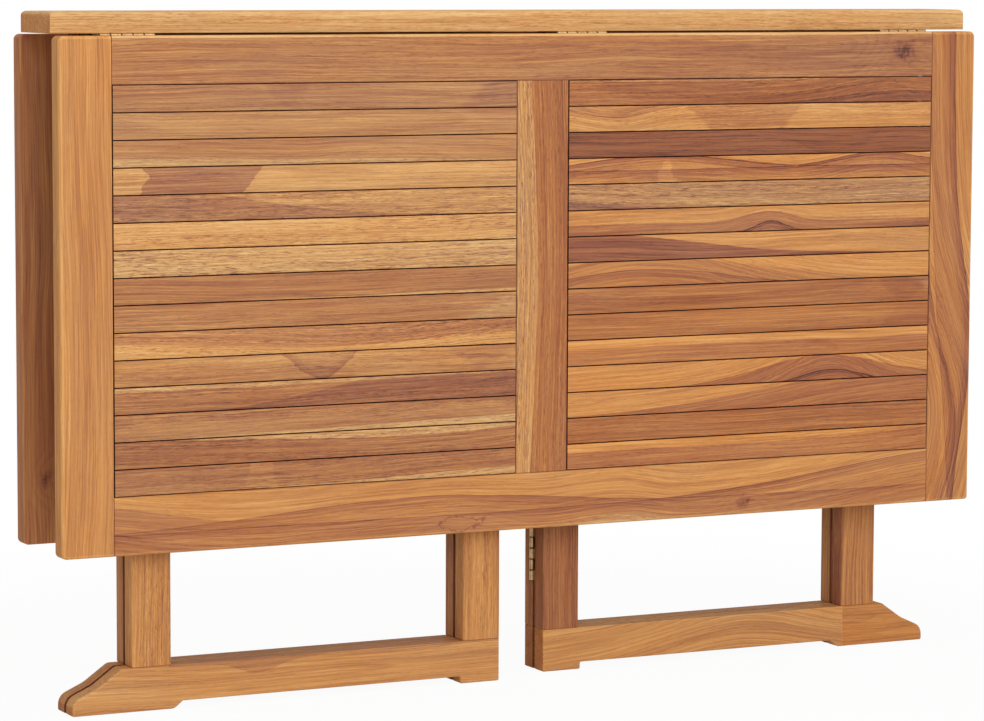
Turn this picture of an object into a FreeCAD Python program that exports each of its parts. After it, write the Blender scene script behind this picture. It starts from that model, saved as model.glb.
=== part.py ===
import FreeCAD, Part
import Sketcher
import os
import re

# Folding gate-leg garden table in teak, folded flat.
# A narrow centre plank carries a slatted leaf on each long edge. Two fixed frames stand under the
# plank in the middle plane, and a swinging gate lies against each of them.
# Millimetres, +Z up, origin on the floor under the middle of the table, +X along the leaves.
# The table is the same after half a turn about Z: the front half is modelled, and its twin is turned.

SIZES = (
    # top
    ("table_height", 750, "floor to the top of the plank"),
    ("table_length", 1130, "length of plank and leaves"),
    ("plank_width", 91, "width of the centre plank"),
    ("plank_thickness", 23, "thickness of the centre plank"),
    ("plank_rounding", 5, "radius along the plank's upper edges"),
    # leaves
    ("leaf_drop", 548, "leaf from its hinge edge to its free edge"),
    ("leaf_thickness", 22, "thickness of the leaf's frame"),
    ("leaf_gap", 2, "gap between plank edge and leaf edge when the leaf is up"),
    ("leaf_rounding", 3, "radius along the leaf's outer edges"),
    ("stile_width", 58.5, "end stile"),
    ("muntin_width", 63, "upright in the middle of the leaf"),
    ("hinge_rail_width", 49.5, "rail beside the hinges"),
    ("outer_rail_width", 63, "rail at the free edge"),
    ("tenon_length", 30, "tenon of a leaf rail or muntin"),
    ("tenon_shoulder", 8, "step beside a tenon, each side"),
    ("joint_play", 0.1, "glue room around tenons and tongues"),
    # slats
    ("slat_count", 15, "slats on each side of the muntin"),
    ("slat_gap", 1.5, "open joint beside each slat"),
    ("slat_end_gap", 1.2, "open joint at each end of a slat"),
    ("slat_thickness", 14, "slat, flush with the leaf's outer face"),
    ("tongue_thickness", 8, "slat tongues and leaf tenons"),
    ("tongue_setback", 4, "tongue behind the leaf's outer face"),
    ("tongue_length", 9, "depth of the groove for the slat tongues"),
    # frames and gates
    ("centre_gap", 68, "between the inner ends of the left and right frames"),
    ("frame_thickness", 22, "boards of frames and gates"),
    ("frame_gap", 3, "between a frame and the gate beside it"),
    ("post_width", 45, "inner and outer posts"),
    ("outer_post_reach", 474, "table middle to the far side of an outer post"),
    ("top_rail_height", 44, "top rails"),
    ("bottom_rail_height", 40, "bottom rails"),
    ("gate_top_clearance", 1, "leaf hinge knuckles to the top of a gate, which swings under them"),
    ("frame_tenon_length", 20, "tenon of a post"),
    ("frame_tenon_thickness", 8, "tenon of a post, and of a rail into its foot"),
    ("frame_tenon_shoulder", 6, "step beside a post's tenon"),
    # feet
    ("foot_lift", 8, "floor to the underside of a bottom rail"),
    ("foot_shelf", 12, "level top of a foot past the outer post"),
    ("foot_joint_inset", 2, "inner side of the outer post to the joint of rail and foot"),
    ("inner_pad_length", 48, "pad under the inner end of a bottom rail"),
    ("heel_length", 16, "pad under the rail beside its foot"),
    ("heel_slope", 13, "sloping start of that pad"),
    ("toe_length", 56, "sloping part of the foot"),
    ("toe_knee_length", 29, "tip to the hollow in the slope"),
    ("toe_knee_height", 29, "floor to the hollow in the slope"),
    ("toe_tip_height", 16, "upright nose of the toe"),
    ("toe_crown_radius", 10, "rounding where the slope starts"),
    ("toe_hollow_radius", 40, "hollow in the slope"),
    ("toe_nose_radius", 14, "rounding of the nose"),
    ("foot_tenon_height", 10, "tenon of a bottom rail into its foot"),
    ("foot_tenon_lift", 4, "that tenon above the rail's underside"),
    # butt hinges
    ("hinge_length", 63, "length of every hinge"),
    ("hinge_plate_width", 18, "hinge line to the far edge of a plate"),
    ("hinge_plate_thickness", 1.2, "plate"),
    ("knuckle_radius", 2.5, "outside of the knuckles"),
    ("knuckle_count", 5, "knuckles, an odd number, shared by the two plates"),
    ("knuckle_gap", 0.3, "between neighbouring knuckles"),
    ("plate_setback", 0.4, "plate edge to the other plate's knuckles"),
    ("pin_radius", 1.4, "hinge pin"),
    ("pin_clearance", 0.05, "pin in its knuckles"),
    ("leaf_hinge_inset", 85, "end of the leaf to the middle of its end hinges"),
    ("leaf_hinge_middle", 60, "table middle to the middle of the third hinge"),
    ("gate_hinge_rise", 54, "top of the bottom rail to the lower hinge"),
    ("gate_hinge_drop", 28, "underside of the gate's top rail to the upper hinge"),
    ("gate_hinge_overhang", 3, "hinge line past the inner ends of the posts"),
    ("recess_play", 0.2, "room around a plate in its recess"),
    # screws
    ("hinge_screw_count", 3, "screws in each plate"),
    ("hinge_screw_radius", 1.5, "shank"),
    ("hinge_screw_head_radius", 2.8, "countersunk head"),
    ("hinge_screw_length", 15, "whole screw"),
    ("frame_screw_count", 3, "screws that hold a fixed frame to the plank"),
    ("frame_screw_radius", 2.5, "shank"),
    ("frame_screw_head_radius", 4.5, "head"),
    ("frame_screw_head_height", 3, "head"),
    ("frame_screw_counterbore", 10, "head below the top rail's underside"),
    ("frame_screw_bite", 15, "shank inside the plank"),
    ("screw_play", 0.05, "hole around a screw"),
)

doc = FreeCAD.newDocument("folding_garden_table")
sheet = doc.addObject("Spreadsheet::Sheet", "Sizes")
for row, (alias, value, meaning) in enumerate(SIZES, 1):
    sheet.set(f"A{row}", str(value))
    sheet.setAlias(f"A{row}", alias)
    sheet.set(f"B{row}", meaning)
doc.recompute()

# Places worked out from the sizes, written with the sheet's names
PLANK_UNDER = "(table_height - plank_thickness)"
HINGE_Y = "(plank_width / 2 + leaf_gap / 2)"
HINGE_Z = f"({PLANK_UNDER} - knuckle_radius)"
LEAF_IN = f"({HINGE_Y} + knuckle_radius)"
LEAF_OUT = f"({LEAF_IN} + leaf_thickness)"
LEAF_TOP = f"({HINGE_Z} - leaf_gap / 2)"
LEAF_LOW = f"({LEAF_TOP} - leaf_drop)"
SLATS_TOP = f"({LEAF_TOP} - hinge_rail_width)"
SLATS_LOW = f"({LEAF_LOW} + outer_rail_width)"
SLAT_PITCH = f"(({SLATS_TOP} - {SLATS_LOW} - slat_gap) / slat_count)"
STILE_X = "(table_length / 2 - stile_width)"
MUNTIN_X = "(muntin_width / 2)"
TONGUE_OUT = f"({LEAF_OUT} - tongue_setback)"
TONGUE_IN = f"({TONGUE_OUT} - tongue_thickness)"
FRAME_IN = "(centre_gap / 2)"
FRAME_FACE = "(frame_thickness / 2)"
GATE_FACE = "(frame_thickness / 2 + frame_gap)"
GATE_BACK = f"({GATE_FACE} + frame_thickness)"
OUTER_POST = "(outer_post_reach - post_width)"
FOOT_START = f"({OUTER_POST} + foot_joint_inset)"
HEEL_START = f"({FOOT_START} - heel_length)"
RAIL_TOP = "(foot_lift + bottom_rail_height)"
GATE_HINGE_X = f"({FRAME_IN} - gate_hinge_overhang)"
GATE_HINGE_Y = f"({FRAME_FACE} + frame_gap / 2)"
GATE_TOP = f"({PLANK_UNDER} - 2 * knuckle_radius - gate_top_clearance)"
LOW_HINGE = f"({RAIL_TOP} + gate_hinge_rise + hinge_length / 2)"
HIGH_HINGE = f"({GATE_TOP} - top_rail_height - gate_hinge_drop - hinge_length / 2)"

X_AXIS = FreeCAD.Vector(1, 0, 0)
Y_AXIS = FreeCAD.Vector(0, 1, 0)
Z_AXIS = FreeCAD.Vector(0, 0, 1)
HALF_TURN = FreeCAD.Placement(FreeCAD.Vector(), FreeCAD.Rotation(Z_AXIS, 180))
HERE = FreeCAD.Placement()

nodes = []


def bound(text):
    """The expression with each size read from the sheet."""
    return re.sub(r"[a-z][a-z_]+", lambda name: "Sizes." + name.group(0), text)


def size(text):
    """The value of an expression in the sheet's names."""
    return float(sheet.evalExpression(bound(text)))


def box(name, x, y, z):
    """Block from low to high along each axis, each limit an expression."""
    block = doc.addObject("Part::Box", name)
    for side, axis, (low, high) in zip(("Length", "Width", "Height"), "xyz", (x, y, z)):
        block.setExpression(side, bound(f"({high}) - ({low})"))
        block.setExpression(f"Placement.Base.{axis}", bound(low))
    return block


def rod(name, radius, length, start=("0", "0", "0"), along=Z_AXIS):
    """Cylinder from start along an axis."""
    cylinder = doc.addObject("Part::Cylinder", name)
    cylinder.setExpression("Radius", bound(radius))
    cylinder.setExpression("Height", bound(length))
    cylinder.Placement.Rotation = FreeCAD.Rotation(Z_AXIS, along)
    for axis, place in zip("xyz", start):
        cylinder.setExpression(f"Placement.Base.{axis}", bound(place))
    return cylinder


def taper(name, wide, narrow, height):
    """Countersink from z = 0 upwards."""
    cone = doc.addObject("Part::Cone", name)
    cone.setExpression("Radius1", bound(wide))
    cone.setExpression("Radius2", bound(narrow))
    cone.setExpression("Height", bound(height))
    return cone


def heel(name, y):
    """Pad under a bottom rail beside its foot, with a sloping start. y holds its two faces."""
    wedge = doc.addObject("Part::Wedge", name)
    limits = (
        ("Xmin", f"{HEEL_START} + heel_slope"),
        ("X2min", HEEL_START),
        ("Ymin", "0"),
        ("Ymax", "foot_lift"),
        ("Zmin", f"-{y[1]}"),
        ("Z2min", f"-{y[1]}"),
        ("Xmax", FOOT_START),
        ("X2max", FOOT_START),
        ("Zmax", f"-({y[0]})"),
        ("Z2max", f"-({y[0]})"),
    )
    for limit, place in limits:
        wedge.setExpression(limit, bound(place))
    wedge.Placement.Rotation = FreeCAD.Rotation(X_AXIS, 90)
    return wedge


def fuse(name, pieces):
    whole = doc.addObject("Part::MultiFuse", name)
    whole.Shapes = pieces
    return whole


def cut(name, blank, tools):
    gathered = doc.addObject("Part::Compound", name + "_cuts")
    gathered.Links = tools
    rest = doc.addObject("Part::Cut", name)
    rest.Base = blank
    rest.Tool = gathered
    return rest


def copies(name, master, places):
    """Separate copies of one solid, as one object."""
    doc.recompute()
    group = doc.addObject("Part::Feature", name)
    group.Shape = Part.makeCompound([master.Shape.transformed(place.toMatrix()) for place in places])
    return group


def rounded(name, base, radius, picked):
    """Fillet on the straight edges that picked(edge's box) accepts."""
    doc.recompute()
    smooth = doc.addObject("Part::Fillet", name)
    smooth.Base = base
    reach = size(radius)
    numbers = [n for n, edge in enumerate(base.Shape.Edges, 1) if picked(edge.BoundBox)]
    smooth.Edges = [(n, reach, reach) for n in numbers]
    return smooth


def node(label, piece, place=HERE):
    """Name a finished piece, which also names its file, and put it in its place."""
    piece.Label = label
    piece.Placement = place.multiply(piece.Placement)
    nodes.append(piece)


# Masters of hinge and screw, with the hinge line along X and the wood above the plates

PLATE_START = "(knuckle_radius + plate_setback)"
PLATE_LOW = "(knuckle_radius - hinge_plate_thickness)"
KNUCKLE_PITCH = "(hinge_length / knuckle_count)"


def hinge_half(name, first):
    """Plate on the +Y side of the hinge line, with every second knuckle counted from first."""
    plate_x = ("-hinge_length / 2", "hinge_length / 2")
    plate_z = (PLATE_LOW, "knuckle_radius")
    pieces = [box(name + "_plate", plate_x, (PLATE_START, "hinge_plate_width"), plate_z)]
    for number in range(first, int(size("knuckle_count")), 2):
        low = f"(-hinge_length / 2 + {number} * {KNUCKLE_PITCH} + knuckle_gap / 2)"
        high = f"({low} + {KNUCKLE_PITCH} - knuckle_gap)"
        pieces.append(box(f"{name}_tab_{number}", (low, high), ("0", PLATE_START), plate_z))
        long = f"{KNUCKLE_PITCH} - knuckle_gap"
        pieces.append(rod(f"{name}_knuckle_{number}", "knuckle_radius", long, (low, "0", "0"), X_AXIS))
    bore = rod(name + "_bore", "pin_radius + pin_clearance", "hinge_length",
               ("-hinge_length / 2", "0", "0"), X_AXIS)
    sink = taper(name + "_sink", "hinge_screw_head_radius + screw_play", "hinge_screw_radius + screw_play",
                 "hinge_plate_thickness")
    sinks = copies(name + "_sinks", sink, screw_places())
    return cut(name, fuse(name + "_solid", pieces), [bore, sinks])


def screw_places():
    """Where the screws enter a plate that lies on the +Y side of the hinge line."""
    count = int(size("hinge_screw_count"))
    step = size("hinge_length") / count
    across = size(f"({PLATE_START} + hinge_plate_width) / 2")
    start = size(PLATE_LOW)
    middle = (count - 1) / 2
    return [FreeCAD.Placement(FreeCAD.Vector((number - middle) * step, across, start), FreeCAD.Rotation())
            for number in range(count)]


outer_half = hinge_half("hinge_outer_half", 0)
inner_half = hinge_half("hinge_inner_half", 1)
hinge_pin = rod("hinge_pin", "pin_radius", "hinge_length", ("-hinge_length / 2", "0", "0"), X_AXIS)
plate_recess = box("plate_recess", ("-hinge_length / 2 - recess_play", "hinge_length / 2 + recess_play"),
                   ("0", "hinge_plate_width + recess_play"), ("0", "knuckle_radius"))
hinge_screw = fuse("hinge_screw", [
    taper("hinge_screw_head", "hinge_screw_head_radius", "hinge_screw_radius", "hinge_plate_thickness"),
    rod("hinge_screw_shank", "hinge_screw_radius", "hinge_screw_length")])
pilot_hole = rod("pilot_hole", "hinge_screw_radius + screw_play", "hinge_screw_length + screw_play")
frame_screw = fuse("frame_screw", [
    rod("frame_screw_head", "frame_screw_head_radius", "frame_screw_head_height"),
    rod("frame_screw_shank", "frame_screw_radius",
        "top_rail_height - frame_screw_counterbore + frame_screw_bite",
        ("0", "0", "frame_screw_head_height"))])
frame_screw_hole = fuse("frame_screw_hole", [
    rod("frame_screw_sink", "frame_screw_head_radius + screw_play",
        "frame_screw_counterbore + frame_screw_head_height", ("0", "0", "-frame_screw_counterbore")),
    rod("frame_screw_bore", "frame_screw_radius + screw_play",
        "top_rail_height - frame_screw_counterbore + frame_screw_bite + screw_play",
        ("0", "0", "frame_screw_head_height"))])


def chain(places, inner_places):
    return [place.multiply(inner) for place in places for inner in inner_places]


def flipped(places):
    """The same hinges seen from their other plate, which lies on the -Y side of the hinge line."""
    return [place.multiply(HALF_TURN) for place in places]


# Leaf hinges: fixed plates lie under the plank, moving plates on the inner face of the hanging leaf
end_hinge = size("table_length / 2 - leaf_hinge_inset")
leaf_line = [FreeCAD.Vector(x, -size(HINGE_Y), size(HINGE_Z))
             for x in (-end_hinge, size("leaf_hinge_middle"), end_hinge)]
leaf_fixed = [FreeCAD.Placement(point, FreeCAD.Rotation()) for point in leaf_line]
leaf_moving = flipped([FreeCAD.Placement(point, FreeCAD.Rotation(X_AXIS, 90)) for point in leaf_line])

# Gate hinges of the right frame: upright, with both plates folded together between frame and gate
gate_line = [FreeCAD.Vector(size(GATE_HINGE_X), size(GATE_HINGE_Y), size(middle))
             for middle in (LOW_HINGE, HIGH_HINGE)]
frame_side = FreeCAD.Rotation(-Z_AXIS, X_AXIS, -Y_AXIS, "XYZ")
gate_side = FreeCAD.Rotation(-Z_AXIS, -X_AXIS, Y_AXIS, "XYZ")
gate_fixed = [FreeCAD.Placement(point, frame_side) for point in gate_line]
gate_moving = flipped([FreeCAD.Placement(point, gate_side) for point in gate_line])

# Screws that hold the right frame, spread between its two posts
screw_span = size(f"{OUTER_POST} - {FRAME_IN} - post_width")
screw_share = screw_span / (size("frame_screw_count") + 1)
frame_screw_places = [
    FreeCAD.Placement(FreeCAD.Vector(size(f"{FRAME_IN} + post_width") + (number + 1) * screw_share, 0,
                                     size(f"{PLANK_UNDER} - top_rail_height + frame_screw_counterbore"
                                          " - frame_screw_head_height")), FreeCAD.Rotation())
    for number in range(int(size("frame_screw_count")))]


def both_sides(places):
    """Places on the modelled half and on its turned twin."""
    return places + [HALF_TURN.multiply(place) for place in places]


# Centre plank, with its upper edges rounded
plank = box("plank_blank", ("-table_length / 2", "table_length / 2"),
            ("-plank_width / 2", "plank_width / 2"), (PLANK_UNDER, "table_height"))
plank = rounded("plank_rounded", plank, "plank_rounding",
                lambda edge: edge.ZMin > size("table_height") - 0.01)
node("centre_plank", cut("plank", plank, [
    copies("plank_pilots", pilot_hole, both_sides(chain(leaf_fixed, screw_places()))),
    copies("plank_frame_holes", frame_screw_hole, both_sides(frame_screw_places))]))


def sorted_by(sign, low, high):
    """A pair of limits, swapped where the side makes the second one the lower."""
    return (low, high) if sign > 0 else (high, low)


def leaf(side, place, near, far):
    """One hanging leaf. near is the name of its -X end in the modelled half, far that of its +X end."""
    face = (f"-{LEAF_OUT}", f"-{LEAF_IN}")
    tongue = (f"-{TONGUE_OUT}", f"-{TONGUE_IN}")
    groove = (f"-{TONGUE_OUT} - joint_play", f"-{TONGUE_IN} + joint_play")
    name = side + "_leaf"
    rails = (
        ("hinge_rail", SLATS_TOP, LEAF_TOP),
        ("outer_rail", LEAF_LOW, SLATS_LOW),
    )
    for end, sign in ((near, -1), (far, 1)):
        inner, outer = f"{sign} * {STILE_X}", f"{sign} * table_length / 2"
        deep = f"{sign} * ({STILE_X} + tenon_length)"
        shallow = f"{sign} * ({STILE_X} + tongue_length)"
        stile = box(f"{name}_{end}_stile_blank", sorted_by(sign, inner, outer), face,
                    (LEAF_LOW, LEAF_TOP))
        edge_x = sign * size("table_length / 2")
        stile = rounded(f"{name}_{end}_stile_round", stile, "leaf_rounding",
                        lambda edge: abs(edge.XMin - edge_x) + abs(edge.XMax - edge_x) < 0.01)
        tools = [box(f"{name}_{end}_groove", sorted_by(sign, inner, shallow), groove,
                     (SLATS_LOW, SLATS_TOP))]
        for rail, low, high in rails:
            mortise = (f"{low} + tenon_shoulder - joint_play", f"{high} - tenon_shoulder + joint_play")
            tools.append(box(f"{name}_{end}_{rail}_mortise", sorted_by(sign, inner, deep), groove, mortise))
        node(f"{name}_{end}_stile", cut(f"{name}_{end}_stile_cut", stile, tools), place)
    for rail, low, high in rails:
        board = box(f"{name}_{rail}_board", (f"-{STILE_X}", STILE_X), face, (low, high))
        edge_z = size(LEAF_TOP) if rail == "hinge_rail" else size(LEAF_LOW)
        board = rounded(f"{name}_{rail}_round", board, "leaf_rounding",
                        lambda edge: abs(edge.ZMin - edge_z) + abs(edge.ZMax - edge_z) < 0.01
                        and edge.XLength > 1 and edge.YMin < -size(LEAF_OUT) + 0.01)
        tenons = box(f"{name}_{rail}_tenons",
                     (f"-{STILE_X} - tenon_length + joint_play", f"{STILE_X} + tenon_length - joint_play"),
                     tongue, (f"{low} + tenon_shoulder", f"{high} - tenon_shoulder"))
        depth = (low, f"{low} + tenon_length")
        if rail == "outer_rail":
            depth = (f"{high} - tenon_length", high)
        tools = [box(f"{name}_{rail}_mortise",
                     (f"-{MUNTIN_X} + tenon_shoulder - joint_play",
                      f"{MUNTIN_X} - tenon_shoulder + joint_play"), groove, depth)]
        if rail == "hinge_rail":
            tools.append(copies(f"{name}_pilots", pilot_hole, chain(leaf_moving, screw_places())))
        whole = fuse(f"{name}_{rail}_solid", [board, tenons])
        node(f"{name}_{rail}", cut(f"{name}_{rail}_cut", whole, tools), place)
    muntin = fuse(f"{name}_muntin_solid", [
        box(f"{name}_muntin_board", (f"-{MUNTIN_X}", MUNTIN_X), face, (SLATS_LOW, SLATS_TOP)),
        box(f"{name}_muntin_tenons", (f"-{MUNTIN_X} + tenon_shoulder", f"{MUNTIN_X} - tenon_shoulder"),
            tongue, (f"{SLATS_LOW} - tenon_length + joint_play",
                     f"{SLATS_TOP} + tenon_length - joint_play"))])
    grooves = [box(f"{name}_muntin_groove_{sign}",
                   sorted_by(-sign, f"{sign} * {MUNTIN_X}", f"{sign} * ({MUNTIN_X} - tongue_length)"),
                   groove, (SLATS_LOW, SLATS_TOP)) for sign in (-1, 1)]
    node(f"{name}_muntin", cut(f"{name}_muntin_cut", muntin, grooves), place)
    for end, sign in ((near, -1), (far, 1)):
        low_z = (f"{SLATS_LOW} + slat_gap", f"{SLATS_LOW} + {SLAT_PITCH}")
        slat = fuse(f"{name}_{end}_slat", [
            box(f"{name}_{end}_slat_board",
                sorted_by(sign, f"{sign} * ({MUNTIN_X} + slat_end_gap)",
                          f"{sign} * ({STILE_X} - slat_end_gap)"),
                (f"-{LEAF_OUT}", f"-{LEAF_OUT} + slat_thickness"), low_z),
            box(f"{name}_{end}_slat_tongues",
                sorted_by(sign, f"{sign} * ({MUNTIN_X} - tongue_length + joint_play)",
                          f"{sign} * ({STILE_X} + tongue_length - joint_play)"), tongue, low_z)])
        steps = [FreeCAD.Placement(FreeCAD.Vector(0, 0, number * size(SLAT_PITCH)), FreeCAD.Rotation())
                 for number in range(int(size("slat_count")))]
        node(f"{name}_{end}_slats", copies(f"{name}_{end}_slat_row", slat, steps), place)


def hinges(name, place, fixed, moving):
    """Plates, pins and screws of one row of hinges."""
    rows = (
        ("fixed_plates", outer_half, fixed),
        ("moving_plates", inner_half, moving),
        ("pins", hinge_pin, fixed),
        ("fixed_screws", hinge_screw, chain(fixed, screw_places())),
        ("moving_screws", hinge_screw, chain(moving, screw_places())),
    )
    for row, master, places in rows:
        node(f"{name}_hinge_{row}", copies(f"{name}_{row}", master, places), place)


def foot_body(name, y_middle):
    """Foot block with a sloping toe and a rounded nose, drawn from the side."""
    tip = "(outer_post_reach + foot_shelf + toe_length)"
    outline = (
        (FOOT_START, "0"),
        (tip, "0"),
        (tip, "toe_tip_height"),
        (f"{tip} - toe_knee_length", "toe_knee_height"),
        (f"{tip} - toe_length", RAIL_TOP),
        (FOOT_START, RAIL_TOP),
    )
    roundings = ((2, "toe_nose_radius"), (3, "toe_hollow_radius"), (4, "toe_crown_radius"))
    body = doc.addObject("PartDesign::Body", name)
    sketch = body.newObject("Sketcher::SketchObject", name + "_outline")
    plane = [origin for origin in body.Origin.OriginFeatures if origin.Role == "XZ_Plane"][0]
    sketch.AttachmentSupport = [(plane, "")]
    sketch.MapMode = "FlatFace"
    corners = [FreeCAD.Vector(size(x), size(z), 0) for x, z in outline]
    for number, corner in enumerate(corners):
        sketch.addGeometry(Part.LineSegment(corner, corners[(number + 1) % len(corners)]))
    for number, (x, z) in enumerate(outline):
        sketch.addConstraint(Sketcher.Constraint("Coincident", number, 2, (number + 1) % len(outline), 1))
    for number, (x, z) in enumerate(outline):
        across = sketch.addConstraint(Sketcher.Constraint("DistanceX", -1, 1, number, 1, corners[number].x))
        sketch.setExpression(f"Constraints[{across}]", bound(x))
        if z == "0":
            sketch.addConstraint(Sketcher.Constraint("PointOnObject", number, 1, -1))
        else:
            up = sketch.addConstraint(Sketcher.Constraint("DistanceY", -1, 1, number, 1, corners[number].y))
            sketch.setExpression(f"Constraints[{up}]", bound(z))
    pad = body.newObject("PartDesign::Pad", name + "_block")
    pad.Profile = sketch
    pad.SideType = "Symmetric"
    pad.setExpression("Length", bound("frame_thickness"))
    doc.recompute()
    shaped = pad
    for number, radius in roundings:
        corner = corners[number]
        edge = [f"Edge{n}" for n, line in enumerate(shaped.Shape.Edges, 1)
                if abs(line.CenterOfMass.x - corner.x) + abs(line.CenterOfMass.z - corner.y) < 0.01]
        smooth = body.newObject("PartDesign::Fillet", f"{name}_rounding_{number}")
        smooth.Base = (shaped, edge)
        smooth.setExpression("Radius", bound(radius))
        doc.recompute()
        shaped = smooth
    body.setExpression("Placement.Base.y", bound(y_middle))
    return body


def stand(name, place, faces, top, hinge_places, screw_holes):
    """Frame or gate: two posts on a bottom rail with a foot, under a top rail."""
    low_y, high_y = faces
    y = (low_y, high_y)
    middle = f"(({low_y} + {high_y}) / 2)"
    tenon_y = (f"{middle} - frame_tenon_thickness / 2", f"{middle} + frame_tenon_thickness / 2")
    mortise_y = (f"{tenon_y[0]} - joint_play", f"{tenon_y[1]} + joint_play")
    posts = (("inner", FRAME_IN), ("outer", OUTER_POST))
    top_low = f"({top} - top_rail_height)"

    def mortise(post, start, low, high):
        x = (f"{start} + frame_tenon_shoulder - joint_play",
             f"{start} + post_width - frame_tenon_shoulder + joint_play")
        return box(f"{name}_{post}", x, mortise_y, (low, high))

    for post, start in posts:
        board = box(f"{name}_{post}_board", (start, f"{start} + post_width"), y, (RAIL_TOP, top_low))
        tenons = box(f"{name}_{post}_tenons",
                     (f"{start} + frame_tenon_shoulder", f"{start} + post_width - frame_tenon_shoulder"),
                     tenon_y,
                     (f"{RAIL_TOP} - frame_tenon_length + joint_play",
                      f"{top_low} + frame_tenon_length - joint_play"))
        whole = fuse(f"{name}_{post}_solid", [board, tenons])
        if post == "inner":
            whole = cut(f"{name}_{post}_cut", whole, [
                copies(f"{name}_recesses", plate_recess, hinge_places),
                copies(f"{name}_pilots", pilot_hole, chain(hinge_places, screw_places()))])
        node(f"{name}_{post}_post", whole, place)
    rail = box(f"{name}_top_board", (FRAME_IN, "outer_post_reach"), y, (top_low, top))
    tools = [mortise(f"top_{post}_mortise", start, top_low, f"{top_low} + frame_tenon_length")
             for post, start in posts]
    if screw_holes:
        tools.append(copies(f"{name}_screw_holes", frame_screw_hole, screw_holes))
    node(f"{name}_top_rail", cut(f"{name}_top_cut", rail, tools), place)
    foot_low = "foot_lift + foot_tenon_lift"
    foot_high = f"{foot_low} + foot_tenon_height"
    rail = fuse(f"{name}_bottom_solid", [
        box(f"{name}_bottom_board", (FRAME_IN, FOOT_START), y, ("foot_lift", RAIL_TOP)),
        box(f"{name}_inner_pad", (FRAME_IN, f"{FRAME_IN} + inner_pad_length"), y, ("0", "foot_lift")),
        heel(f"{name}_heel", y),
        box(f"{name}_foot_tenon", (FOOT_START, f"{FOOT_START} + frame_tenon_length - joint_play"), tenon_y,
            (foot_low, foot_high))])
    sunk = f"{RAIL_TOP} - frame_tenon_length"
    node(f"{name}_bottom_rail", cut(f"{name}_bottom_cut", rail, [
        mortise("bottom_inner_mortise", FRAME_IN, sunk, RAIL_TOP)]), place)
    foot_slot = box(f"{name}_foot_slot", (FOOT_START, f"{FOOT_START} + frame_tenon_length"), mortise_y,
                    (f"{foot_low} - joint_play", f"{foot_high} + joint_play"))
    node(f"{name}_foot", cut(f"{name}_foot_cut", foot_body(f"{name}_foot_block", middle), [
        mortise("foot_mortise", OUTER_POST, sunk, RAIL_TOP), foot_slot]), place)


FIXED_FACES = (f"-{FRAME_FACE}", FRAME_FACE)
GATE_FACES = (GATE_FACE, GATE_BACK)

leaf("front", HERE, "left", "right")
leaf("rear", HALF_TURN, "right", "left")
stand("right_frame", HERE, FIXED_FACES, PLANK_UNDER, gate_fixed, frame_screw_places)
stand("left_frame", HALF_TURN, FIXED_FACES, PLANK_UNDER, gate_fixed, frame_screw_places)
stand("rear_gate", HERE, GATE_FACES, GATE_TOP, gate_moving, None)
stand("front_gate", HALF_TURN, GATE_FACES, GATE_TOP, gate_moving, None)
hinges("front_leaf", HERE, leaf_fixed, leaf_moving)
hinges("rear_leaf", HALF_TURN, leaf_fixed, leaf_moving)
hinges("rear_gate", HERE, gate_fixed, gate_moving)
hinges("front_gate", HALF_TURN, gate_fixed, gate_moving)
node("right_frame_screws", copies("right_screws", frame_screw, frame_screw_places))
node("left_frame_screws", copies("left_screws", frame_screw, frame_screw_places), HALF_TURN)

doc.recompute()
failed = [thing.Label for thing in doc.Objects if {"Invalid", "Error"} & set(thing.State)]
failed += [piece.Label for piece in nodes if piece.Shape.isNull() or not piece.Shape.isValid()]
if failed:
    raise RuntimeError("these pieces did not come out: " + ", ".join(failed))

os.makedirs("parts", exist_ok=True)
for piece in nodes:
    piece.Shape.exportStep(f"parts/{piece.Label}.step")
print(len(nodes), "pieces written")
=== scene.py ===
import math
import random
from functools import partial

import bmesh
import bpy
from mathutils import Matrix, Vector


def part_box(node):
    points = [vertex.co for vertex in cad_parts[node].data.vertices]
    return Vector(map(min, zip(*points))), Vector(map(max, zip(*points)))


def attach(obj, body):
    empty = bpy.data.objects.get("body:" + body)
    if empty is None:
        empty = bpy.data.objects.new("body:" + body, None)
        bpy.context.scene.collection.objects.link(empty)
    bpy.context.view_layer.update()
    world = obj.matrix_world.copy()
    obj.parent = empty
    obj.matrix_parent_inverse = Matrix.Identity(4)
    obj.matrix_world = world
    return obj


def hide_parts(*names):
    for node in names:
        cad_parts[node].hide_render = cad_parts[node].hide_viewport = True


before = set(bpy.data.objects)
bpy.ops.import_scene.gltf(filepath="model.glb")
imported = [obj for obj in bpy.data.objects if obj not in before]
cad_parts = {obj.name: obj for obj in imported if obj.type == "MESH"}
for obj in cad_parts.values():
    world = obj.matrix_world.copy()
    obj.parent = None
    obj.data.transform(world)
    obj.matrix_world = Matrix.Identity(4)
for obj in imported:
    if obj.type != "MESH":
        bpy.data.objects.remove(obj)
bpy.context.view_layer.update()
print("frame loaded,", len(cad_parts), "CAD nodes")

tiny = 1e-6    # metres; places nearer than this are one
millimetres = 1000.0    # in a metre


# small helpers for node trees

def plug(tree, socket, value):
    if isinstance(value, bpy.types.NodeSocket):
        tree.links.new(value, socket)
    else:
        socket.default_value = value


def wire(tree, kind, inputs=None, **settings):
    node = tree.nodes.new(kind)
    for name, value in settings.items():
        setattr(node, name, value)
    for name, value in (inputs or {}).items():
        plug(tree, node.inputs[name], value)
    return node


def calc(tree, operation, *values):
    node = wire(tree, "ShaderNodeMath", operation=operation)
    for socket, value in zip(node.inputs, values):
        plug(tree, socket, value)
    return node.outputs[0]


def sums(tree, *operations):
    # calc for one tree, once for each operation
    return [partial(calc, tree, operation) for operation in operations]


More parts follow.
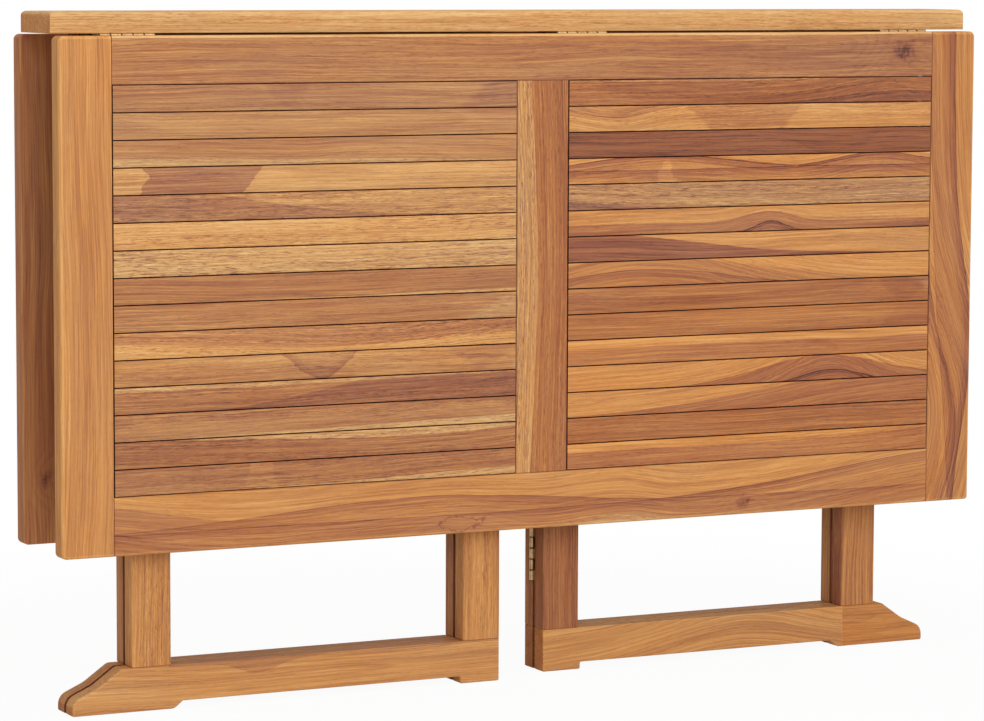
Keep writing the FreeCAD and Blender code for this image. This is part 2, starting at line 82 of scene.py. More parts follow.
def smooth(tree, value, low, high, toLow=0.0, toHigh=1.0):
    spans = {"Value": value, "From Min": low, "From Max": high, "To Min": toLow, "To Max": toHigh}
    return wire(tree, "ShaderNodeMapRange", spans, interpolation_type="SMOOTHSTEP").outputs["Result"]


def combine(tree, x=0.0, y=0.0, z=0.0):
    return wire(tree, "ShaderNodeCombineXYZ", {"X": x, "Y": y, "Z": z}).outputs[0]


def split(tree, vector):
    return wire(tree, "ShaderNodeSeparateXYZ", {0: vector}).outputs


def readMark(tree, attribute, output="Vector"):
    return wire(tree, "ShaderNodeAttribute", attribute_name=attribute).outputs[output]


def noise(tree, x, y, z, detail, roughness):
    inputs = {"Vector": combine(tree, x, y, z), "Scale": 1.0, "Detail": detail, "Roughness": roughness}
    return wire(tree, "ShaderNodeTexNoise", inputs).outputs[0]


def ramp(tree, value, stops):
    node = wire(tree, "ShaderNodeValToRGB", {"Fac": value})
    marks = node.color_ramp.elements
    while len(marks) < len(stops):
        marks.new(0.5)
    for mark, (place, colour) in zip(marks, stops):
        mark.position = place
        mark.color = colour
    return node.outputs["Color"]


def paint(red, green, blue):
    # screen colour 0 to 255, made linear
    def straight(level):
        level = level / 255
        return level / 12.92 if level <= 0.04045 else ((level + 0.055) / 1.055) ** 2.4
    return (straight(red), straight(green), straight(blue), 1.0)


def newMaterial(name):
    material = bpy.data.materials.new(name)
    material.use_nodes = True
    material.node_tree.nodes.clear()
    return material, material.node_tree


def showSurface(tree, inputs):
    shader = wire(tree, "ShaderNodeBsdfPrincipled", inputs)
    wire(tree, "ShaderNodeOutputMaterial", {"Surface": shader.outputs[0]})


# oiled teak, cut through each board's own solid grain
# grain: metres along, across and through the board; the other attributes are set per board, in millimetres
teakLook = {
    "colours": ((0.00, paint(232, 188, 128)), (0.25, paint(214, 158, 98)), (0.45, paint(188, 133, 86)),
                (0.65, paint(163, 107, 76)), (0.85, paint(134, 86, 68)), (1.00, paint(97, 63, 53))),
    "longWander": 15.0,    # how far the grain lines wander across, mm
    "shortWander": 3.0,
    "ringWidth": 5.5,
    "ringShift": 2.4,      # how far the rings drift, in rings
    "pithLean": 0.028,     # how much deeper the pith lies for each mm along
    "rings": 0.14,         # growth rings
    "streaks": 0.40,       # broad light and dark streaks
    "threads": 0.58,       # narrow streaks
    "hairs": 0.48,         # fine lines
    "pores": 0.26,         # dark dashes
    "flecks": -0.12,       # pale dashes
    "knots": 0.36,
    "wearAndPaintedLight": -0.14,         # paler rounded edges, as wear and as a painted highlight; darker as painted shade in gaps and joints
    "endGrain": 0.14,
    "endDots": 0.5,
    "hueDrift": 1.8,
    "hueTint": (0.01, -0.11, -0.25),    # red, green and blue that a redder board gains
    "gapShadeTint": (0.66, 0.82, 0.92),    # red, green and blue that painted shade in gaps and joints takes away
    "roughness": 0.62,
    "gloss": 0.11,
    "bump": (0.28, 0.0004),    # strength, metres
    "cuts": (7.31, 3.17, 5.23),    # places for each seed
    "edgeFollow": 0.25,    # how much of the wander a patch's edge follows
    "ringMean": 0.55,      # rings come and go about this depth
    "sapPores": 0.6,       # sapwood is coarser
    "dashShare": 0.7,      # of the pores
    "sapHue": -1.0,
    "endHue": 1.1,
    "mauve": 0.30,         # blue that heartwood gains
    "rougher": (0.16, 0.14, 0.25),    # what streaks, pores and the painted gap shade add
    "threadHeight": 0.4,
    "dots": (0.9, 2.0, 0.7),    # scale for each mm, detail, roughness
    # from where to where a value grows, and from what to what if not 0 to 1
    "spans": {"ringEdge": (1.0, 0.9), "clumps": (-0.12, 0.12, 0.5, 1.25), "dashes": (0.03, 0.20),
              "fine": (0.05, 0.20), "flecks": (-0.04, -0.20), "end": (-0.5, -0.15), "dust": (-1.4, -2.6)},
    # what varies: scale along and across for each mm, detail, roughness
    "drifts": {
        "longWander": (0.0042, 0.012, 1.0, 0.5), "shortWander": (0.017, 0.06, 2.0, 0.5),
        "ragged": (0.015, 0.12, 3.0, 0.65), "knotEdge": (0.07, 0.10, 3.0, 0.6),
        "knotStrokes": (0.17, 0.10, 3.0, 0.6), "ringShift": (0.003, 0.02, 1.0, 0.5),
        "ringDepth": (0.004, 0.03, 1.0, 0.5), "streaks": (0.0022, 0.075, 3.0, 0.6),
        "threads": (0.0045, 0.52, 3.0, 0.6), "hairs": (0.012, 0.75, 2.0, 0.6),
        "dashes": (0.055, 0.85, 2.0, 0.65), "fine": (0.11, 1.5, 2.0, 0.6),
        "clumps": (0.004, 0.16, 1.0, 0.5), "hue": (0.005, 0.03, 2.0, 0.5),
    },
    # patches: how ragged the edge is along and across, mm; half width of a soft and of a crisp edge, mm;
    # strength from which an edge is crisp; lines of a flame, mm apart, and how dark they and the edges are
    "patch": {"ragged": (18.0, 1.6), "softEdge": 6.0, "crispEdge": 0.6, "crispFrom": (0.10, 0.14),
              "inside": (-1.0, -15.0), "insidePale": -0.7, "line": (1.1, 0.1), "flameLine": 1.1, "crispLine": 0.25,
              "nestWidth": 4.6, "nestLine": (0.2, 0.03), "nestReach": (-18.0, -3.0), "nestFrom": -1.5,
              "nestDark": 0.45, "longShare": 2.5, "tallest": 45.0},
    # knots: how long they are, how uneven, how dark, and how far the rings flow round them
    "knot": {"stretch": 1.3, "crackedStretch": 1.9, "uneven": 2.0, "rim": 0.13, "rimDark": 0.75, "core": (1.3, 0.1),
             "strokes": (-0.15, 0.15, 0.25, 1.0), "flow": (4.0, 0.4), "push": 1.4},
}
patchNames = ("heart", "crest", "tail", "sap")
knotNames = ("knot", "knotTwo")


def makeTeak(name, look):
    material, tree = newMaterial(name)
    product, total, less, ratio, scaled = sums(tree, "MULTIPLY", "ADD", "SUBTRACT", "DIVIDE", "MULTIPLY_ADD")
    size, most, least, under, over = sums(tree, "ABSOLUTE", "MAXIMUM", "MINIMUM", "LESS_THAN", "GREATER_THAN")
    fraction, root, exponent, sign = sums(tree, "FRACT", "SQRT", "EXPONENT", "SIGN")

    def board(attribute):
        return split(tree, readMark(tree, attribute))

    along, across, through = [product(part, millimetres) for part in board("grain")]
    tone, red, seed = board("tone")
    pith, depth, poreAmount = board("rings")
    reach = board("reach")[0]
    # paler for wear and a painted highlight on rounded edges; far below 0, painted shade in gaps and joints
    wearAndPaintedLight = readMark(tree, "wearAndPaintedLight", "Fac")
    shift = [product(seed, step) for step in look["cuts"]]    # each board is cut elsewhere

    def drift(name, side=across):
        alongScale, acrossScale, detail, rough = look["drifts"][name]
        value = noise(tree, scaled(along, alongScale, shift[0]), scaled(side, acrossScale, shift[1]),
                      scaled(through, acrossScale, shift[2]), detail, rough)
        return less(value, 0.5)

    def span(name, value):
        return smooth(tree, value, *look["spans"][name])

    # grain lines wander across the board, and a patch's edge follows them a little
    bent = scaled(drift("longWander"), look["longWander"], across)
    bent = scaled(drift("shortWander"), look["shortWander"], bent)
    ragged = drift("ragged")
    raggedAlong, raggedAcross = look["patch"]["ragged"]
    edgeSide = scaled(ragged, raggedAcross, scaled(less(bent, across), look["edgeFollow"], across))

    def patch(name, form):
        # wood of another tone below a bell-shaped line, or above it where the height is under 0
        # a width under 0 makes it a flame: dark nested lines, paler inside; a weak patch has soft edges
        startAlong, base, strength = board(name)
        width, height, slant = board(name + "Size")
        amount, tall = size(strength), size(height)
        flame = under(width, 0.0)
        x = scaled(ragged, raggedAlong, less(along, startAlong))
        step = ratio(x, width)
        rise = product(exponent(product(product(step, step), -1.0)), height)
        gap = less(edgeSide, total(scaled(x, slant, base), rise))
        gap = product(gap, sign(height))    # mm from the line, inside below 0
        crisp = smooth(tree, amount, *form["crispFrom"])
        soft = scaled(crisp, form["crispEdge"] - form["softEdge"], form["softEdge"])
        inside = product(smooth(tree, gap, *form["inside"]), flame)
        fill = product(smooth(tree, gap, soft, product(soft, -1.0)), scaled(inside, form["insidePale"], 1.0))
        edgeLine = smooth(tree, size(gap), *form["line"])
        edgeLine = product(edgeLine, most(product(flame, form["flameLine"]), product(crisp, form["crispLine"])))
        nest = smooth(tree, size(less(fraction(ratio(gap, form["nestWidth"])), 0.5)), *form["nestLine"])
        nest = product(nest, smooth(tree, gap, *form["nestReach"]))
        nest = product(product(nest, under(gap, form["nestFrom"])), product(flame, form["nestDark"]))
        lines = product(total(edgeLine, nest), amount)
        follow = product(over(size(width), product(tall, form["longShare"])), under(tall, form["tallest"]))
        return fill, product(fill, strength), lines, product(rise, follow)

    heart, crest, tail, sap = [patch(name, look["patch"]) for name in patchNames]
    for part in (heart, crest, tail, sap):
        bent = less(bent, part[3])    # the grain follows the crests
    darks = most(most(heart[1], crest[1]), most(tail[1], 0.0))
    pales = least(least(heart[1], crest[1]), least(tail[1], 0.0))
    lines = most(most(heart[2], crest[2]), most(tail[2], sap[2]))

    def knotAt(name, form):
        # dark core, or a cracked rim where the radius is under 0, and how far the rings flow round it
        knotAlong, knotAcross, knotRadius = board(name)
        cracked = under(knotRadius, 0.0)
        knotRadius = size(knotRadius)
        x = ratio(less(along, knotAlong), scaled(cracked, form["crackedStretch"], form["stretch"]))
        y = less(across, knotAcross)
        far = ratio(root(total(product(x, x), product(y, y))), most(knotRadius, 0.001))
        uneven = scaled(drift("knotEdge"), form["uneven"], far)
        rim = smooth(tree, size(less(uneven, 1.0)), form["rim"], 0.0)
        strokes = smooth(tree, drift("knotStrokes"), *form["strokes"])    # uneven darkness
        core = product(smooth(tree, uneven, *form["core"]), strokes)
        core = total(product(core, less(1.0, cracked)), product(product(rim, cracked), form["rimDark"]))
        return core, product(product(smooth(tree, far, *form["flow"]), knotRadius), form["push"])

    knots = [knotAt(name, look["knot"]) for name in knotNames]

    # growth rings round a pith that lies behind the board: slow darkening, then a sudden pale edge
    ringX = less(bent, pith)
    ringY = total(through, scaled(along, look["pithLean"], depth))
    ring = root(total(product(ringX, ringX), product(ringY, ringY)))
    ring = total(ring, total(knots[0][1], knots[1][1]))
    saw = fraction(scaled(drift("ringShift"), look["ringShift"], ratio(ring, look["ringWidth"])))
    saw = product(product(saw, saw), span("ringEdge", saw))
    saw = product(saw, total(drift("ringDepth"), look["ringMean"]))

    names = ("streaks", "threads", "hairs", "dashes", "clumps")
    streaks, threads, hairs, dashes, clumps = [drift(name, bent) for name in names]
    clumps = span("clumps", clumps)    # pores follow the rings
    poreAmount = total(poreAmount, product(sap[0], look["sapPores"]))
    pores = most(product(span("dashes", dashes), look["dashShare"]), span("fine", drift("fine")))
    pores = product(product(pores, poreAmount), clumps)
    flecks = product(span("flecks", dashes), poreAmount)

    shade = total(less(total(tone, total(darks, pales)), sap[1]), lines)
    parts = {"streaks": streaks, "threads": threads, "hairs": hairs, "rings": saw, "pores": pores, "flecks": flecks,
             "knots": total(knots[0][0], knots[1][0]), "wearAndPaintedLight": wearAndPaintedLight}
    for name, part in parts.items():
        shade = scaled(part, look[name], shade)
    # end grain is darker and dotted
    endMask = span("end", less(size(along), reach))
    scale, *kind = look["dots"]
    dots = noise(tree, product(across, scale), product(through, scale), shift[0], *kind)
    endShade = scaled(dots, look["endDots"], look["endGrain"] - look["endDots"] / 2)
    colour = ramp(tree, scaled(endMask, endShade, shade), look["colours"])

    # redder or more olive boards, with slow changes of hue; sapwood olive, heartwood mauve
    hue = scaled(drift("hue", bent), look["hueDrift"], red)
    hue = scaled(endMask, look["endHue"], scaled(sap[0], look["sapHue"], hue))
    levels = (1.0, 1.0, scaled(darks, look["mauve"], 1.0))
    tint = combine(tree, *[scaled(hue, part, level) for part, level in zip(look["hueTint"], levels)])
    # painted shade in gaps and joints darkens the colour
    gapShaded = span("dust", wearAndPaintedLight)
    gapShadeTint = combine(tree, *[scaled(gapShaded, -part, 1.0) for part in look["gapShadeTint"]])
    for wash in (tint, gapShadeTint):
        colour = wire(tree, "ShaderNodeVectorMath", {0: colour, 1: wash}, operation="MULTIPLY").outputs[0]

    rough = look["roughness"]
    for part, amount in zip((streaks, pores, gapShaded), look["rougher"]):
        rough = scaled(part, amount, rough)
    height = less(product(threads, look["threadHeight"]), pores)
    strength, distance = look["bump"]
    bump = wire(tree, "ShaderNodeBump", {"Strength": strength, "Distance": distance, "Height": height})
    showSurface(tree, {"Base Color": colour, "Roughness": rough, "Specular IOR Level": look["gloss"],
                       "Normal": bump.outputs[0]})
    return material


# satin brass of the hinges and zinc of the long screws: drawn lines, and a little tarnish
brassLook = {"bright": (0.56, 0.38, 0.19, 1.0), "dull": (0.38, 0.24, 0.12, 1.0), "roughness": 0.34}
steelLook = {"bright": (0.66, 0.65, 0.62, 1.0), "dull": (0.40, 0.39, 0.37, 1.0), "roughness": 0.34}
metalLook = {
    "drawn": (60.0, 5200.0, 5200.0), "clouds": 190.0,    # scales for each metre
    "drawnNoise": (2.0, 0.6), "cloudNoise": (3.0, 0.6),  # detail, roughness
    "dullTo": 0.36, "brightFrom": 0.62,                  # levels of the clouds
    "rougher": (-0.18, 0.12),                            # for each level, and at level 0
    "jointWidth": (0.11, 0.04), "knuckleShade": -0.85,     # in knuckles; how dark the painted shade is
    "bump": (0.12, 0.0001),
}


def makeMetal(name, look):
    material, tree = newMaterial(name)
    product, total, less, scaled = sums(tree, "MULTIPLY", "ADD", "SUBTRACT", "MULTIPLY_ADD")
    size, fraction = sums(tree, "ABSOLUTE", "FRACT")
    place = split(tree, wire(tree, "ShaderNodeTexCoord").outputs["Object"])
    drawn = noise(tree, *[product(part, scale) for part, scale in zip(place, metalLook["drawn"])],
                  *metalLook["drawnNoise"])
    clouds = noise(tree, *[product(part, metalLook["clouds"]) for part in place], *metalLook["cloudNoise"])
    colour = ramp(tree, clouds, ((metalLook["dullTo"], look["dull"]), (metalLook["brightFrom"], look["bright"])))
    # painted shade in the joints between a hinge's knuckles; barrel: knuckles along the hinge, 1 on a knuckle
    barrel = split(tree, readMark(tree, "barrel"))
    joint = size(less(fraction(total(barrel[0], 0.5)), 0.5))
    joint = product(smooth(tree, joint, *metalLook["jointWidth"]), barrel[1])
    knuckleShading = scaled(joint, metalLook["knuckleShade"], 1.0)
    colour = wire(tree, "ShaderNodeVectorMath", {0: colour, "Scale": knuckleShading}, operation="SCALE").outputs[0]
    slope, start = metalLook["rougher"]
    rough = scaled(clouds, slope, look["roughness"] + start)
    strength, distance = metalLook["bump"]
    bump = wire(tree, "ShaderNodeBump", {"Strength": strength, "Distance": distance, "Height": drawn})
    showSurface(tree, {"Base Color": colour, "Roughness": rough, "Metallic": 1.0, "Normal": bump.outputs[0]})
    return material


teakBoards = makeTeak("oiledTeakBoards", teakLook)
teakSlats = makeTeak("oiledTeakSlats", dict(teakLook, longWander=10.0))
hingeBrass = makeMetal("satinBrass", brassLook)
screwSteel = makeMetal("zincSteel", steelLook)
print("materials made")


# a board's figure: tone 0 pale to 1 dark, red or (below 0) olive; heart, crest, tail and the paler sap as
# (along, base across, width, height, strength), with a slant where there is one; knot and knotTwo as
# (along, across, radius); pores how many; seed where the board is cut
figureSeeds = iter(range(1, 1000))
figureLook = {
    "seedStep": 0.618,
    # mean, swing, and how fast it changes with the seed
    "pithAcross": (0.0, 24.0, 12.9), "pithDepth": (32.0, 16.0, 4.7), "pores": (0.75, 0.3, 31.0),
    # by chance: tones, and from what to what the rest is; each patch's odds and strength
    "tones": (0.24, 0.30, 0.36, 0.43, 0.5, 0.56, 0.62), "red": (-0.2, 0.7), "along": (-260, 260), "base": (4, 15),
    "width": (60, 300), "height": (8, 30), "strength": (0.4, 1.0),
    "patches": (("heart", 0.7, 0.26), ("crest", 0.4, 0.20), ("sap", 0.4, 0.22)),
}


def wood(tone, red=0.0, **marks):
    return dict(marks, tone=tone, red=red)


def figureVectors(figure, reach):
    seed = figure.get("seed", next(figureSeeds) * figureLook["seedStep"])

    def swing(name):
        mean, most, pace = figureLook[name]
        return mean + most * math.sin(seed * pace)

    vectors = {
        "tone": (figure["tone"], figure["red"], seed),
        "rings": (swing("pithAcross"), swing("pithDepth"), figure.get("pores", swing("pores"))),
        "reach": (reach * millimetres, 0.0, 0.0),
    }
    for name in knotNames:
        vectors[name] = figure.get(name, (0, 0, 0))
    for name in patchNames:
        along, base, width, height, strength, *slant = figure.get(name, (0, -1000, 1, 1, 0))
        vectors[name] = (along, base, strength)
        vectors[name + "Size"] = (width, height, slant[0] if slant else 0)
    return vectors


def plainFigure(chance):
    # a figure drawn by chance
    def draw(name):
        return chance.uniform(*figureLook[name])

    figure = wood(chance.choice(figureLook["tones"]), draw("red"))
    for name, odds, strong in figureLook["patches"]:
        if chance.random() < odds:
            hanging = chance.choice((1, 1, -1))
            figure[name] = (draw("along"), -hanging * draw("base"), chance.choice((1, -1)) * draw("width"),
                            hanging * draw("height"), draw("strength") * strong)
    return figure


def writeMark(mesh, name, flat):
    mesh.attributes.new(name, "FLOAT_VECTOR", "POINT").data.foreach_set("vector", flat)


def dress(mesh, figure, origin, axes):
    # writes the grain and the figure on a board's mesh
    grain = []
    for vertex in mesh.vertices:
        offset = vertex.co - origin
        grain += [offset.dot(axis) for axis in axes]
    reach = max(abs(value) for value in grain[::3])
    for name, vector in figureVectors(figure, reach).items():
        writeMark(mesh, name, list(vector) * len(mesh.vertices))
    writeMark(mesh, "grain", grain)


# along, across and through
grainAxes = {name: [Vector([float(letter == axis) for axis in "xyz"]) for letter in letters]
             for name, letters in (("x", "xzy"), ("z", "zxy"), ("plank", "xyz"))}


# small helpers for meshes

def addObject(name, data):
    holder = bpy.data.objects.new(name, data)
    bpy.context.scene.collection.objects.link(holder)
    return holder


def toMesh(shape, name):
    mesh = bpy.data.meshes.new(name)
    shape.to_mesh(mesh)
    shape.free()
    return mesh


def plainMesh(holder):
    # what the modifiers make of an object, which then goes
    graph = bpy.context.evaluated_depsgraph_get()
    made = holder.evaluated_get(graph)
    mesh = bpy.data.meshes.new_from_object(made, preserve_all_data_layers=True, depsgraph=graph)
    bpy.data.objects.remove(holder)
    return mesh


def fromNode(node):
    # a CAD node's shape, merged
    shape = bmesh.new()
    shape.from_mesh(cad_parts[node].data)
    bmesh.ops.remove_doubles(shape, verts=shape.verts, dist=tiny)
    return shape


def cornersOf(vertices):
    return [Vector([pick(vertex.co[axis] for vertex in vertices) for axis in range(3)]) for pick in (min, max)]


def islands(node):
    # corners of each separate solid of a CAD node
    shape = fromNode(node)
    left, found = set(shape.verts), []
    while left:
        group, rim = set(), [left.pop()]
        while rim:
            vertex = rim.pop()
            group.add(vertex)
            near = {edge.other_vert(vertex) for edge in vertex.link_edges} & left
            left -= near
            rim += near
        found.append(cornersOf(group))
    shape.free()
    return sorted(found, key=lambda corners: [round(value, 5) for corner in corners for value in corner])


def boxMesh(low, high):
    shape = bmesh.new()
    bmesh.ops.create_cube(shape, size=1.0)
    for vertex in shape.verts:
        vertex.co = Vector([(a + b) / 2 + part * (b - a) for a, b, part in zip(low, high, vertex.co)])
    return shape


def outlineMesh(points, lowY, highY):
    # side outline in x and z, given depth in y
    shape = bmesh.new()
    rows = [[shape.verts.new((x, y, z)) for x, z in points] for y in (lowY, highY)]
    shape.faces.new(rows[0])
    shape.faces.new(rows[1])
    for number in range(len(points)):
        after = (number + 1) % len(points)
        shape.faces.new((rows[0][number], rows[0][after], rows[1][after], rows[1][number]))
    bmesh.ops.recalc_face_normals(shape, faces=shape.faces)
    return shape


def roundedOutline(corners, steps=8):
    # corners as (x, z, radius)
    points = []
    for number, (x, z, radius) in enumerate(corners):
        here = Vector((x, z))
        if not radius:
            points.append(here)
            continue
        before = (Vector(corners[number - 1][:2]) - here).normalized()
        after = (Vector(corners[(number + 1) % len(corners)][:2]) - here).normalized()
        half = before.angle(after) / 2
        start = here + before * radius / math.tan(half)
        centre = here + (before + after).normalized() * radius / math.sin(half)
        sweep = math.pi - 2 * half
        arm = start - centre
        turn = 1 if before.x * after.y - before.y * after.x < 0 else -1
        for step in range(steps + 1):
            angle = turn * sweep * step / steps
            points.append(centre + Vector((arm.x * math.cos(angle) - arm.y * math.sin(angle),
                                           arm.x * math.sin(angle) + arm.y * math.cos(angle))))
    return [tuple(point) for point in points]


# boards: rounded and worn edges, with painted shade beside a narrow gap
boardLook = {
    "sharp": math.radians(40), "edge": 0.0007, "edgeSteps": 2, "softSteps": 8, "bevelWearAndLight": 0.15,
    "dust": -2.2, "gapShadeReach": 0.0015, "flat": 0.99,
}


def lies(edge, axis, level):
    return all(abs(vertex.co[axis] - level) < tiny for vertex in edge.verts)


def isSharp(edge):
    return len(edge.link_faces) == 2 and edge.calc_face_angle(0.0) > boardLook["sharp"]


def softenEdges(shape, chosen, radius, segments, bevelWearAndLight):
    # rounds the chosen edges, and marks the new faces with the given value: paler for wear and painted highlight,
    # darker for painted shade
    wearAndPaintedLight = shape.faces.layers.float.get("wearAndPaintedLight") or shape.faces.layers.float.new("wearAndPaintedLight")
    edges = [edge for edge in shape.edges if chosen(edge)]
    if edges:
        made = bmesh.ops.bevel(shape, geom=edges, offset=radius, offset_type="OFFSET", segments=segments,
                               profile=0.5, affect="EDGES", clamp_overlap=True)
        for face in made["faces"]:
            face[wearAndPaintedLight] = bevelWearAndLight


def markGapShade(shape, faceY, steepest):
    # painted shade on the faces beside a narrow gap
    wearAndPaintedLight = shape.faces.layers.float.get("wearAndPaintedLight")
    shape.normal_update()
    for face in shape.faces:
        beside = abs(face.calc_center_median().y - faceY) < boardLook["gapShadeReach"]
        if beside and abs(face.normal.y) < boardLook["flat"] and abs(face.normal.z) <= steepest:
            face[wearAndPaintedLight] = boardLook["dust"]


def cutAway(mesh, cutters):
    # takes the cutters' shapes out of a mesh
    holder = addObject("boardBlank", mesh)
    tools = [addObject("cutter", toMesh(cutter, "cutter")) for cutter in cutters]
    for tool in tools:
        modifier = holder.modifiers.new("cut", "BOOLEAN")
        modifier.operation = "DIFFERENCE"
        modifier.solver = "EXACT"
        modifier.object = tool
    result = plainMesh(holder)
    for tool in tools:
        bpy.data.objects.remove(tool)
    return result


def addPiece(name, mesh, material, body, slotName, *nodes):
    mesh.materials.clear()
    mesh.materials.append(material)
    piece = addObject(name, mesh)
    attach(piece, body)
    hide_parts(*nodes)


def makeBoard(node, body, shape, along, figure, soft=None, softRadius=0.0, softWearAndHighlight=1.0, edge=boardLook["edge"],
              bevelWearAndLight=boardLook["bevelWearAndLight"], gapShadeY=None, steepest=1.0, cutters=(), origin=None):
    if soft:
        softenEdges(shape, soft, softRadius, boardLook["softSteps"], softWearAndHighlight)
    softenEdges(shape, isSharp, edge, boardLook["edgeSteps"], bevelWearAndLight)
    if gapShadeY is not None:
        markGapShade(shape, gapShadeY, steepest)
    mesh = toMesh(shape, node)
    if cutters:
        mesh = cutAway(mesh, cutters)
    low, high = cornersOf(mesh.vertices)
    dress(mesh, figure, origin or (low + high) / 2, grainAxes[along])
    addPiece(node + "_teak", mesh, teakBoards, body, "teak_boards", node)


# centre plank
plankLook = {"rounding": 0.005, "bevelWearAndLight": 0.2, "figure": wood(0.17, -0.3, seed=3.3)}
low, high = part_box("centre_plank")
makeBoard("centre_plank", "table_frame", boxMesh(low, high), "plank", plankLook["figure"],
          soft=lambda edge: lies(edge, 2, high.z), softRadius=plankLook["rounding"], softWearAndHighlight=plankLook["bevelWearAndLight"])
print("plank made")


# leaves: stiles, rails and muntin, with the outer edges rounded
leafLook = {
    "rounding": 0.0032, "topRounding": 0.0025, "topLift": 0.0015, "innerRounding": 0.0015, "innerSteps": 3,
    "innerWear": 0.3, "paintedTopHighlight": 3.0, "jointWearAndShade": -1.2,    # the top's value is a painted highlight; below 0: painted shade along the joints
    "cornerRadius": {"left_stile": (0.006, 0.006), "right_stile": (0.0035, 0.006)},    # lower, upper
    "front": {
        "left_stile": wood(0.35, 0.75, pores=0.35, heart=(-60, -17, 300, 6, -0.04)),
        "right_stile": wood(0.39, 0.75, heart=(-90, 3, -135, 26, 0.28), pores=0.4,
                            crest=(-190, -34, -120, 44, 0.28), tail=(-330, -30, -280, 32, -0.16)),
        "hinge_rail": wood(0.50, 0.0, knot=(468, 1, 15), heart=(560, -30, 330, 56, 0.07),
                           crest=(330, -30, -260, 46, 0.05), pores=0.7),
        "outer_rail": wood(0.30, 0.7, heart=(-150, -10, -230, 22, 0.21), pores=0.5,
                           crest=(560, -10, -260, 40, 0.26), tail=(-560, -10, 160, 34, 0.17),
                           sap=(100, -34, 70, 13, 0.10), knot=(-100, -20, -8), knotTwo=(260, -17, 8)),
        "muntin": wood(0.54, 0.9, sap=(0, -20, 230, 15, 0.20)),
    },
    "rear": {
        "left_stile": wood(0.54, 0.5, knot=(-205, -4, 7), pores=0.3),
        "right_stile": wood(0.38, 0.2, heart=(60, -24, -200, 26, 0.20)),
        "hinge_rail": wood(0.42, 0.2, crest=(-200, -26, -240, 38, 0.14)),
        "outer_rail": wood(0.40, 0.3, heart=(-120, -12, -260, 26, 0.16)),
        "muntin": wood(0.38, 0.4, tail=(40, -34, -150, 36, 0.14)),
    },
}

for side in ("front", "rear"):
    leaf, figures = side + "_leaf", leafLook[side]
    box = {part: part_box(f"{leaf}_{part}") for part in figures}
    outY, inY = [corner.y for corner in (box["muntin"] if side == "front" else box["muntin"][::-1])]

    # the leaf boards' sharp edges, along the joints, take painted shade
    def leafBoard(part, shape, along, *soft):
        makeBoard(f"{leaf}_{part}", leaf, shape, along, figures[part], *soft, bevelWearAndLight=leafLook["jointWearAndShade"])

    for stile, outer in (("left_stile", 0), ("right_stile", 1)):
        low, high = box[stile]
        endX, jointX, topZ = box[stile][outer].x, box[stile][1 - outer].x, high.z + leafLook["topLift"]
        lower, upper = leafLook["cornerRadius"][stile]
        outline = roundedOutline(((jointX, low.z, 0), (endX, low.z, lower), (endX, topZ, upper), (jointX, topZ, 0)))
        shape = outlineMesh(outline, low.y, high.y)

        def freeEdge(faceY, edge):
            return lies(edge, 1, faceY) and not lies(edge, 0, jointX)

        softenEdges(shape, partial(freeEdge, inY), leafLook["innerRounding"], leafLook["innerSteps"],
                    leafLook["innerWear"])
        leafBoard(stile, shape, "z", partial(freeEdge, outY), leafLook["rounding"])
    left, right = box["left_stile"][1].x, box["right_stile"][0].x
    low, high = box["hinge_rail"]
    topZ = high.z + leafLook["topLift"]
    # a painted highlight makes the hinge rail's rounded top edge paler
    leafBoard("hinge_rail", boxMesh((left, low.y, low.z), (right, high.y, topZ)), "x",
              lambda edge: lies(edge, 1, outY) and lies(edge, 2, topZ), leafLook["topRounding"], leafLook["paintedTopHighlight"])
    low, high = box["outer_rail"]
    leafBoard("outer_rail", boxMesh((left, low.y, low.z), (right, high.y, high.z)), "x",
              lambda edge: lies(edge, 1, outY) and lies(edge, 2, low.z), leafLook["rounding"])
    low, high = box["muntin"]
    shape = boxMesh((low.x, low.y, box["outer_rail"][1].z), (high.x, high.y, box["hinge_rail"][0].z))
    leafBoard("muntin", shape, "z")
print("leaf frames made")


